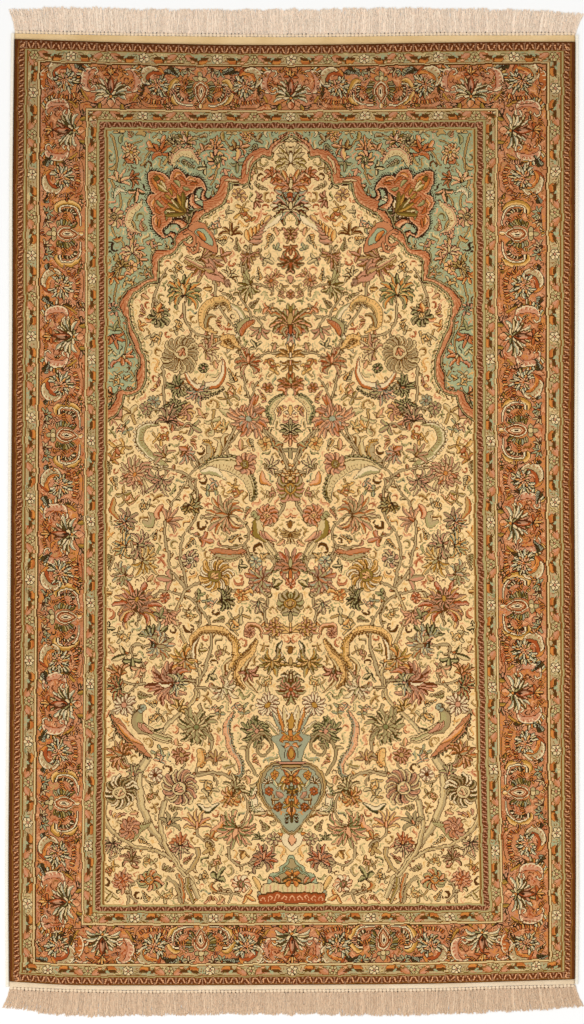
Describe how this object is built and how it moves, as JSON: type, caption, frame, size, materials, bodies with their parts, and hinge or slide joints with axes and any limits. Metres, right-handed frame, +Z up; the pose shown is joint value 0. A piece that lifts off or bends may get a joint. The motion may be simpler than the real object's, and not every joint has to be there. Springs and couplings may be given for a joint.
{
  "type": "silk oriental rug",
  "caption": "Flat rectangular hand-knotted pile rug with overcast side edges, flat-woven end bands and knotted fringe at the ends.",
  "frame": {"origin": "middle of the underside of the pile, on the floor", "axes": "+X across the rug, +Y along it towards the end with the point of the arch, +Z up out of the pile"},
  "size_m": [0.9287, 1.6243, 0.006],
  "materials": {
    "pile": "clipped silk pile, soft sheen",
    "end_band": "flat-woven silk, matte",
    "selvedge": "overcast silk cord, satin",
    "fringe": "combed silk thread, matte"
  },
  "bodies": {
    "root": {"pile_body": "pile", "end_band_top": "end_band", "end_band_bottom": "end_band", "selvedge_left": "selvedge", "selvedge_right": "selvedge", "fringe_top": "fringe", "fringe_bottom": "fringe"}
  },
  "joints": []
}
